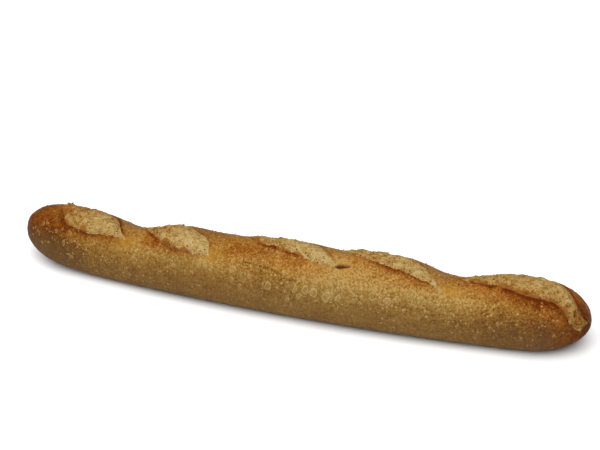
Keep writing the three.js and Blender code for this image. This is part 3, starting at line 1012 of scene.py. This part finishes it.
def crust_material():
    nodes = Nodes("crust")
    mottle = nodes.noise(size=1.9 * MM, detail=5.0, roughness=0.65)
    grain = nodes.noise(size=1.3 * MM, detail=4.0, roughness=0.7)
    lively = nodes.math("SUBTRACT", 1.0, nodes.share("calm"))
    dots = crust_dots(nodes, lively)
    crust = crust_colour(nodes, mottle, dots, lively)
    shade = nodes.mix(nodes.share("crumb"), crust, crumb_colour(nodes, grain))
    burnt = nodes.times(nodes.share("burnt"), nodes.fit(mottle, *PATCHY_BURNS))
    shade = nodes.mix(burnt, shade, BURNT_EDGE)
    # Painted shade in the crumb's holes and in the tear
    shade = nodes.mix(nodes.share("pit_shade"), shade, PIT_SHADE_COLOUR)
    nodes.put(shade, nodes.shader.inputs["Base Color"])

    nodes.shader.inputs["Specular IOR Level"].default_value = CRUST_SHINE
    nodes.shader.inputs["Specular Tint"].default_value = CRUST_SHINE_TINT
    rough = nodes.fit(mottle, *CRUST_ROUGH)
    rough = nodes.add("Mix", {0: nodes.share("crumb"), 2: rough, 3: CRUMB_ROUGH}).outputs[0]
    nodes.put(rough, nodes.shader.inputs["Roughness"])

    coarse = nodes.plus(CRUST_COARSE, nodes.share("crumb"), CRUMB_COARSE)
    height = nodes.math("ADD", nodes.times(grain, coarse), mottle)
    height = nodes.plus(height, dots, DOT_HEIGHT)
    bump = nodes.add("Bump", {"Height": height, "Strength": 1.0, "Distance": BUMP_DEPTH})
    nodes.put(bump.outputs["Normal"], nodes.shader.inputs["Normal"])
    return nodes.material


CRUST_MATERIAL = crust_material()
shares["ring"] = np.zeros(len(points))
loaf = new_object("loaf", points - CENTRE, loaf_faces(), shares, CRUST_MATERIAL)
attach(loaf, "root")
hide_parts("baguette")

# ---- Blisters: low domes with a pale rim, whose skirts run under the crust ----
# Place, degrees, and half widths along and around in millimetres
BLISTERS = [
    (-0.893, 40, 0.9, 3.2), (-0.882, 36, 0.7, 2.4), (-0.833, 47, 1.4, 1.8), (-0.797, 62, 1.7, 2.0),
    (-0.776, 80, 1.9, 1.4), (-0.81, 42, 0.8, 1.6), (-0.257, 52, 1.6, 2.4), (-0.275, 47, 1.3, 1.6),
    (-0.236, 56, 1.4, 1.8), (-0.159, 52, 2.6, 3.4), (-0.129, 55, 1.0, 1.4), (-0.098, 58, 1.5, 1.8),
    (-0.087, 70, 1.2, 1.4), (-0.129, 73, 1.4, 1.6), (-0.031, 66, 2.5, 4.0), (0.062, 64, 2.0, 3.0),
    (0.077, 73, 2.2, 2.5), (0.096, 63, 3.0, 3.2), (0.125, 65, 2.8, 4.2), (0.168, 68, 3.3, 4.2),
    (0.206, 67, 2.2, 2.8), (0.216, 50, 1.8, 2.0), (0.283, 62, 1.5, 1.8), (0.278, 70, 1.4, 1.5),
    (0.366, 61, 3.0, 3.2), (0.395, 56, 2.0, 2.2), (0.422, 70, 1.4, 1.5), (0.447, 61, 1.6, 1.6),
]
# Small blisters: chances of the back and of the front, degrees and their spread and limit,
# half widths in millimetres, and how much wider they are around than along
SMALL_BLISTERS = 130
BLISTER_SIDES = [0.35, 0.65]
BLISTER_DEGREES = (58, 17)
BLISTER_LIMIT = 105
BLISTER_RADII = (0.6, 1.5)
BLISTER_STRETCH = (0.9, 1.4)
BLISTER_CLEARANCE = 4 * MM
BLISTER_RINGS = 7
BLISTER_TURNS = 20
# A blister's height, how steep it may be, and how deep and how far out its skirt reaches
BLISTER_RISE = 0.34 * MM
BLISTER_STEEPNESS = 0.25
BLISTER_DEPTH = 0.3 * MM
BLISTER_RIM = 0.95
BLISTER_SKIRT = 1.3
# Unevenness of its outline: amount, waves around it
BLISTER_WAVES = [(0.14, 2), (0.12, 3)]
# The pale ring: where and how wide it is, in shares of the half width, and the middle's paleness
RING_AT = 0.86
RING_WIDTH = 0.12
RING_MIDDLE = 0.2

# Places where anything lies on the crust are at most this far from the middle
SPOT_LIMIT = 0.95

chance = np.random.default_rng(11)


def spread(count, degrees, is_right):
    """Places and degrees of so many spots: the first ones drawn that are in the right parts."""
    places = chance.uniform(-SPOT_LIMIT, SPOT_LIMIT, len(degrees))
    spots = Surface(run_at(places * HALF), np.radians(degrees) * GIRTH_RADIUS)
    right = np.flatnonzero(is_right(spots))[:count]
    return list(zip(places[right], degrees[right]))


def small_blisters():
    """Small blisters, thickest along the front and the back below the scores."""
    draws = 3 * SMALL_BLISTERS
    side = chance.choice([-1, 1], draws, p=BLISTER_SIDES)
    degrees = side * np.minimum(chance.normal(*BLISTER_DEGREES, draws), BLISTER_LIMIT)
    spots = spread(
        SMALL_BLISTERS, degrees,
        lambda spots: (spots.crumb == 0) & (spots.edge_distance > BLISTER_CLEARANCE),
    )
    radii = chance.uniform(*BLISTER_RADII, len(spots))
    return [
        (place, degrees, radius, radius * chance.uniform(*BLISTER_STRETCH))
        for (place, degrees), radius in zip(spots, radii)
    ]


def blister_mesh(blisters):
    turn = np.linspace(0, 2 * math.pi, BLISTER_TURNS, endpoint=False)
    out = np.linspace(0, BLISTER_SKIRT, BLISTER_RINGS + 1)[1:]
    runs, girths, prouds, rings, faces = [], [], [], [], []
    for place, degrees, along, around in blisters:
        first = len(runs) * (1 + BLISTER_RINGS * BLISTER_TURNS)
        phases = chance.uniform(0, 2 * math.pi, len(BLISTER_WAVES))
        reach = 1 + sum(
            amount * np.sin(waves * turn + phase)
            for (amount, waves), phase in zip(BLISTER_WAVES, phases)
        )
        middle = unrolled(place, degrees)
        run = middle[0] + along * MM * np.outer(out, reach * np.cos(turn)).ravel()
        girth = middle[1] + around * MM * np.outer(out, reach * np.sin(turn)).ravel()
        share = np.concatenate([[0], np.repeat(out, BLISTER_TURNS)])
        rise = min(BLISTER_RISE, BLISTER_STEEPNESS * along * MM)
        dome = np.sqrt(np.clip(1 - share ** 4, 0, 1))
        skirt = BLISTER_DEPTH * smoothstep(share, BLISTER_RIM, BLISTER_SKIRT)
        runs.append(np.concatenate([[middle[0]], run]))
        girths.append(np.concatenate([[middle[1]], girth]))
        prouds.append(rise * dome - skirt)
        pale = np.exp(-((share - RING_AT) / RING_WIDTH) ** 2)
        rings.append(RING_MIDDLE + (1 - RING_MIDDLE) * pale)
        for step in range(BLISTER_TURNS):
            ahead = (step + 1) % BLISTER_TURNS
            faces.append((first, first + 1 + step, first + 1 + ahead))
            for ring in range(BLISTER_RINGS - 1):
                a = first + 1 + ring * BLISTER_TURNS
                b = a + BLISTER_TURNS
                faces.append((a + step, b + step, b + ahead, a + ahead))
    return [np.concatenate(values) for values in (runs, girths, prouds, rings)] + [faces]


run, girth, proud, ring, faces = blister_mesh(BLISTERS + small_blisters())
surface = Surface(run, girth)
shares = looks(surface)
shares["ring"] = ring
blisters = new_object("blisters", surface.points(proud) - CENTRE, faces, shares, CRUST_MATERIAL)
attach(blisters, "root")

# ---- Bran flakes, lying on the crust and in the torn crumb ----
FLAKES = 480
STEEP_FLAKES = 260
FLAKE_SIDES = 6
FLAKE_THICKNESS = 0.22 * MM
# Flat flakes lie within these degrees, and this share of those drawn on the crust is kept
FLAT_ARC = (-85, 85)
CRUST_FLAKES = 0.25
# Steep flakes are behind the crown, where they break its outline
STEEP_ARC = (-70, -20)
# Half widths in millimetres, the least and how much more at most, and tilts in radians
FLAT_SIZE = (0.35, 0.75)
FLAT_TILT = 0.25
STEEP_SIZE = (0.3, 0.5)
STEEP_TILT = 0.9
STANDING_TILT = 1.3
TILT_SPREAD = (0.7, 1.0)
# Flakes that stand up: place, degrees, half width in millimetres
STANDING = [
    (-0.396, -24, 1.3), (-0.395, -20, 1.0), (-0.85, -24, 1.1), (-0.835, -24, 1.3),
    (-0.82, -22, 0.9),
]
# A flake's uneven outline, how narrow it is, and how far a tilted one stands off the surface
CORNER_REACH = (0.65, 1.1)
CORNER_TURN = 0.3
FLAKE_NARROW = 0.7
FLAKE_LIFT = 0.7


def flake_spots():
    """Place, degrees, half width in millimetres and tilt of each flake."""
    def half_width(least, more):
        return least + more * chance.random() ** 2

    draws = 8 * FLAKES
    keep = chance.random(draws)
    flat = spread(
        FLAKES, chance.uniform(*FLAT_ARC, draws),
        lambda spots: (spots.crumb > 0.5) | (keep < CRUST_FLAKES),
    )
    spots = [(*spot, half_width(*FLAT_SIZE), FLAT_TILT) for spot in flat]
    steep = spread(
        STEEP_FLAKES, chance.uniform(*STEEP_ARC, 2 * STEEP_FLAKES),
        lambda spots: np.full(spots.run.shape, True),
    )
    spots += [(*spot, half_width(*STEEP_SIZE), STEEP_TILT) for spot in steep]
    spots += [(*spot, STANDING_TILT) for spot in STANDING]
    return spots


def flake_corners(radius, steep, here, ahead, beside):
    """Corners of a flake's underside, then of its top, from three points of the crust under it."""
    u = (ahead - here) / np.linalg.norm(ahead - here)
    w = np.cross(beside - here, u)
    w /= np.linalg.norm(w)
    v = np.cross(w, u)
    turn = chance.uniform(0, 2 * math.pi)
    tilt = steep * chance.uniform(*TILT_SPREAD)
    side = math.cos(turn) * u + math.sin(turn) * v
    flat = -math.sin(turn) * u + math.cos(turn) * v
    front = flat * math.cos(tilt) + w * math.sin(tilt)
    up = np.cross(side, front)
    centre = here + w * (FLAKE_THICKNESS / 2 + radius * math.sin(tilt) * FLAKE_LIFT)
    angles = np.linspace(0, 2 * math.pi, FLAKE_SIDES, endpoint=False)
    angles = angles + chance.uniform(-CORNER_TURN, CORNER_TURN, FLAKE_SIDES)
    reach = radius * chance.uniform(*CORNER_REACH, FLAKE_SIDES)
    corners = []
    for level in (-FLAKE_THICKNESS / 2, FLAKE_THICKNESS / 2):
        for angle, r in zip(angles, reach):
            across = math.cos(angle) * side + FLAKE_NARROW * math.sin(angle) * front
            corners.append(centre + r * across + level * up)
    return corners


def flake_mesh():
    """Thin chips of bran: most lie flat, and more of them in the crumb than on the crust."""
    spots = flake_spots()
    middles = np.array([unrolled(place, degrees) for place, degrees, _, _ in spots])
    run = middles[:, :1] + np.array([0, MM, 0])
    girth = middles[:, 1:] + np.array([0, 0, MM])
    vertices, faces, tones = [], [], []
    for (_, _, radius, steep), axes in zip(spots, Surface(run, girth).points()):
        first = len(vertices)
        bottom = [first + k for k in range(FLAKE_SIDES)]
        top = [first + FLAKE_SIDES + k for k in range(FLAKE_SIDES)]
        vertices += flake_corners(radius * MM, steep, *axes)
        for k in range(FLAKE_SIDES):
            after = (k + 1) % FLAKE_SIDES
            faces.append((bottom[k], bottom[after], top[after], top[k]))
        faces.append(tuple(reversed(bottom)))
        faces.append(tuple(top))
        tones += [chance.random()] * (2 * FLAKE_SIDES)
    return np.array(vertices), faces, {"tone": tones}


# How far a flake's own tone and its grain move it along the bran's shades
TONE_WEIGHT = 0.7
TONE_GRAIN = 0.5
BRAN_ROUGH = (0.3, 0.7, 0.7, 0.9)
BRAN_SHINE = 0.1
BRAN_BUMP = 0.2 * MM


def bran_material():
    nodes = Nodes("bran")
    grain = nodes.noise(size=0.8 * MM)
    tone = nodes.plus(nodes.times(nodes.share("tone"), TONE_WEIGHT), grain, TONE_GRAIN)
    nodes.put(nodes.ramp(tone, BRAN_SHADES), nodes.shader.inputs["Base Color"])
    nodes.put(nodes.fit(grain, *BRAN_ROUGH), nodes.shader.inputs["Roughness"])
    nodes.shader.inputs["Specular IOR Level"].default_value = BRAN_SHINE
    bump = nodes.add("Bump", {"Height": grain, "Strength": 0.5, "Distance": BRAN_BUMP})
    nodes.put(bump.outputs["Normal"], nodes.shader.inputs["Normal"])
    return nodes.material


vertices, faces, tones = flake_mesh()
flakes = new_object("bran_flakes", vertices - CENTRE, faces, tones, bran_material())
for polygon in flakes.data.polygons:
    polygon.use_smooth = False
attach(flakes, "root")

# ---- Stage, light and camera ----
FLOOR_SIZE = 30
PAPER = 0.72

bpy.ops.mesh.primitive_plane_add(size=FLOOR_SIZE)
floor = bpy.context.object
floor.name = "floor"
paper = Nodes("paper")
paper.shader.inputs["Base Color"].default_value = (PAPER, PAPER, PAPER, 1)
paper.shader.inputs["Roughness"].default_value = 0.9
floor.data.materials.append(paper.material)

SKY_STRENGTH = 0.15
SUN_STRENGTH = 5.2
SUN_SOFTNESS = math.radians(75)
SUN_FROM = Vector((-0.1, -0.32, 1.0))

world = bpy.data.worlds.new("studio")
bpy.context.scene.world = world
world.use_nodes = True
world.node_tree.nodes["Background"].inputs["Color"].default_value = (1, 1, 1, 1)
world.node_tree.nodes["Background"].inputs["Strength"].default_value = SKY_STRENGTH
sun = bpy.data.lights.new("softbox", "SUN")
sun.energy = SUN_STRENGTH
sun.angle = SUN_SOFTNESS
softbox = bpy.data.objects.new("softbox", sun)
bpy.context.scene.collection.objects.link(softbox)
softbox.rotation_mode = "QUATERNION"
softbox.rotation_quaternion = (-SUN_FROM).to_track_quat("-Z", "Y")

# Azimuth from the front toward the right, and the camera's place before the loaf is centred
AZIMUTH = math.radians(16.46)
ELEVATION = math.radians(32)
CAMERA_PLACE = Vector((0.21528, -0.69637, 0.53005))
LENS = 60
SENSOR = 36

camera = bpy.data.cameras.new("camera")
camera.lens = LENS
camera.sensor_width = SENSOR
viewer = bpy.data.objects.new("camera", camera)
bpy.context.scene.collection.objects.link(viewer)
viewer.location = CAMERA_PLACE - Vector((0, CENTRE[1], 0))
backward = Vector((
    math.sin(AZIMUTH) * math.cos(ELEVATION),
    -math.cos(AZIMUTH) * math.cos(ELEVATION),
    math.sin(ELEVATION),
))
viewer.rotation_mode = "QUATERNION"
viewer.rotation_quaternion = (-backward).to_track_quat("-Z", "Y")
bpy.context.scene.camera = viewer
bpy.context.scene.view_settings.view_transform = "Standard"
